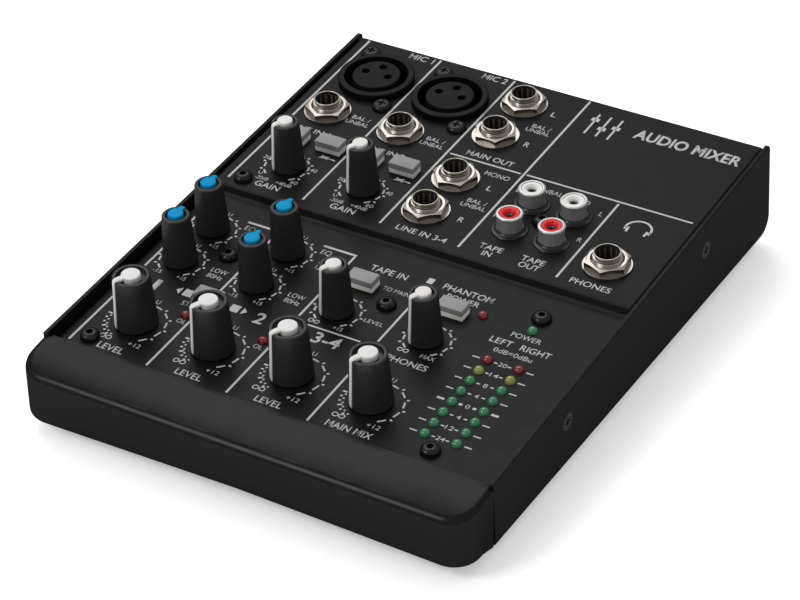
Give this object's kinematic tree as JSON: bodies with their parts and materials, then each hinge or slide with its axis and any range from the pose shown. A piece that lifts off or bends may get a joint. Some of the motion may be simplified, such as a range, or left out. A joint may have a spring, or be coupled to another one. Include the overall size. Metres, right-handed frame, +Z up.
{
  "type": "audio mixing console",
  "caption": "Compact desktop audio mixing console with a stepped sloping panel of knobs, push buttons, level lamps and audio sockets, and a moulded front bumper.",
  "frame": {"origin": "centre of the bounding box in plan, on the plane that the feet stand on", "axes": "+X to the operator's right along the panel, +Y away from the operator to the socket end, +Z up"},
  "size_m": [0.1556, 0.2056, 0.0511],
  "materials": {
    "case_black": "fine-textured satin powder coat",
    "bumper_black": "satin moulded plastic",
    "circuit_green": "solder mask over glass laminate",
    "ribbon_grey": "ribbon insulation",
    "can_metal": "bare can",
    "pillar_brass": "nickel-free turned brass",
    "pot_metal": "bright zinc plate",
    "switch_black": "moulded",
    "lamp_green": "clear tinted epoxy, unlit",
    "lamp_yellow": "clear tinted epoxy, unlit",
    "lamp_red": "clear tinted epoxy, unlit",
    "xlr_black": "satin moulded plastic",
    "core_black": "satin moulded plastic",
    "screw_black": "black zinc plate",
    "jack_nickel": "nickel plate",
    "washer_nickel": "nickel plate",
    "nut_nickel": "nickel plate",
    "rca_black": "moulded",
    "rca_chrome": "bright nickel plate",
    "rca_white": "moulded",
    "rca_red": "moulded",
    "inlet_black": "moulded",
    "switch_case": "moulded",
    "rocker_black": "moulded",
    "foot_rubber": "soft rubber",
    "knob_black": "soft-touch moulded plastic",
    "pointer_white": "moulded",
    "pointer_blue": "moulded",
    "button_grey": "moulded"
  },
  "bodies": {
    "console": {"board_standoffs": "pillar_brass", "case_screws": "screw_black", "chassis_tray": "case_black", "control_board": "circuit_green", "filter_capacitors": "can_metal", "front_bumper": "bumper_black", "jack_board": "circuit_green", "jack_bodies": "jack_nickel", "jack_nuts": "nut_nickel", "jack_washers": "washer_nickel", "leds_green": "lamp_green", "leds_red": "lamp_red", "leds_yellow": "lamp_yellow", "panel_screws": "screw_black", "pot_bodies": "pot_metal", "power_inlet": "inlet_black", "rca_bodies": "rca_black", "rca_inserts_red": "rca_red", "rca_inserts_white": "rca_white", "rca_shells": "rca_chrome", "ribbon_cable": "ribbon_grey", "rocker_housing": "switch_case", "rubber_feet": "foot_rubber", "switch_bodies": "switch_black", "top_panel": "case_black", "xlr_inserts": "core_black", "xlr_screws": "screw_black", "xlr_shells": "xlr_black"},
    "knob_level_1": {"knob_level_1": "knob_black", "pointer_level_1": "pointer_white"},
    "knob_level_2": {"knob_level_2": "knob_black", "pointer_level_2": "pointer_white"},
    "knob_level_3_4": {"knob_level_3_4": "knob_black", "pointer_level_3_4": "pointer_white"},
    "knob_main_mix": {"knob_main_mix": "knob_black", "pointer_main_mix": "pointer_white"},
    "knob_gain_1": {"knob_gain_1": "knob_black", "pointer_gain_1": "pointer_white"},
    "knob_eq_high_1": {"knob_eq_high_1": "knob_black", "pointer_eq_high_1": "pointer_blue"},
    "knob_eq_low_1": {"knob_eq_low_1": "knob_black", "pointer_eq_low_1": "pointer_blue"},
    "knob_gain_2": {"knob_gain_2": "knob_black", "pointer_gain_2": "pointer_white"},
    "knob_eq_high_2": {"knob_eq_high_2": "knob_black", "pointer_eq_high_2": "pointer_blue"},
    "knob_eq_low_2": {"knob_eq_low_2": "knob_black", "pointer_eq_low_2": "pointer_blue"},
    "knob_tape_level": {"knob_tape_level": "knob_black", "pointer_tape_level": "pointer_white"},
    "knob_phones_level": {"knob_phones_level": "knob_black", "pointer_phones_level": "pointer_white"},
    "button_low_cut_1": {"button_low_cut_1": "button_grey"},
    "button_low_cut_2": {"button_low_cut_2": "button_grey"},
    "button_instrument_1": {"button_instrument_1": "button_grey"},
    "button_instrument_2": {"button_instrument_2": "button_grey"},
    "button_stereo_pan": {"button_stereo_pan": "button_grey"},
    "button_tape_to_main": {"button_tape_to_main": "button_grey"},
    "button_phantom_power": {"button_phantom_power": "button_grey"},
    "rocker": {"power_rocker": "rocker_black"}
  },
  "joints": [
    {"name": "level_1_turn", "type": "hinge", "parent": "console", "child": "knob_level_1", "pos_m": [-0.05767, -0.06644, 0.02388], "axis": [0, 0.061, -0.9981], "range_deg": [0, 300]},
    {"name": "level_2_turn", "type": "hinge", "parent": "console", "child": "knob_level_2", "pos_m": [-0.02973, -0.06644, 0.02388], "axis": [0, 0.061, -0.9981], "range_deg": [0, 300]},
    {"name": "level_3_4_turn", "type": "hinge", "parent": "console", "child": "knob_level_3_4", "pos_m": [-0.00179, -0.06644, 0.02388], "axis": [0, 0.061, -0.9981], "range_deg": [0, 300]},
    {"name": "main_mix_turn", "type": "hinge", "parent": "console", "child": "knob_main_mix", "pos_m": [0.02565, -0.06644, 0.02388], "axis": [0, 0.061, -0.9981], "range_deg": [0, 300]},
    {"name": "gain_1_turn", "type": "hinge", "parent": "console", "child": "knob_gain_1", "pos_m": [-0.05713, 0.02101, 0.03232], "axis": [0, 0.061, -0.9981], "range_deg": [0, 300]},
    {"name": "eq_high_1_turn", "type": "hinge", "parent": "console", "child": "knob_eq_high_1", "pos_m": [-0.06313, -0.01523, 0.02702], "axis": [0, 0.061, -0.9981], "range_deg": [-150, 150]},
    {"name": "eq_low_1_turn", "type": "hinge", "parent": "console", "child": "knob_eq_low_1", "pos_m": [-0.06313, -0.03379, 0.02588], "axis": [0, 0.061, -0.9981], "range_deg": [-150, 150]},
    {"name": "gain_2_turn", "type": "hinge", "parent": "console", "child": "knob_gain_2", "pos_m": [-0.029, 0.02101, 0.03232], "axis": [0, 0.061, -0.9981], "range_deg": [0, 300]},
    {"name": "eq_high_2_turn", "type": "hinge", "parent": "console", "child": "knob_eq_high_2", "pos_m": [-0.035, -0.01523, 0.02702], "axis": [0, 0.061, -0.9981], "range_deg": [-150, 150]},
    {"name": "eq_low_2_turn", "type": "hinge", "parent": "console", "child": "knob_eq_low_2", "pos_m": [-0.035, -0.03379, 0.02588], "axis": [0, 0.061, -0.9981], "range_deg": [-150, 150]},
    {"name": "tape_level_turn", "type": "hinge", "parent": "console", "child": "knob_tape_level", "pos_m": [-0.00592, -0.03379, 0.02588], "axis": [0, 0.061, -0.9981], "range_deg": [0, 300]},
    {"name": "phones_level_turn", "type": "hinge", "parent": "console", "child": "knob_phones_level", "pos_m": [0.02536, -0.03379, 0.02588], "axis": [0, 0.061, -0.9981], "range_deg": [0, 300]},
    {"name": "low_cut_1_press", "type": "slide", "parent": "console", "child": "button_low_cut_1", "axis": [0, 0.061, -0.9981], "range_m": [0, 0.0024]},
    {"name": "low_cut_2_press", "type": "slide", "parent": "console", "child": "button_low_cut_2", "axis": [0, 0.061, -0.9981], "range_m": [0, 0.0024]},
    {"name": "instrument_1_press", "type": "slide", "parent": "console", "child": "button_instrument_1", "axis": [0, 0.061, -0.9981], "range_m": [0, 0.0024]},
    {"name": "instrument_2_press", "type": "slide", "parent": "console", "child": "button_instrument_2", "axis": [0, 0.061, -0.9981], "range_m": [0, 0.0024]},
    {"name": "stereo_pan_press", "type": "slide", "parent": "console", "child": "button_stereo_pan", "axis": [0, 0.061, -0.9981], "range_m": [0, 0.0024]},
    {"name": "tape_to_main_press", "type": "slide", "parent": "console", "child": "button_tape_to_main", "axis": [0, 0.061, -0.9981], "range_m": [0, 0.0024]},
    {"name": "phantom_power_press", "type": "slide", "parent": "console", "child": "button_phantom_power", "axis": [0, 0.061, -0.9981], "range_m": [0, 0.0024]},
    {"name": "power_rocker_tilt", "type": "hinge", "parent": "console", "child": "rocker", "pos_m": [0.017, 0.09447, 0.02471], "axis": [0, -0.061, 0.9981], "range_deg": [-18, 0]}
  ]
}
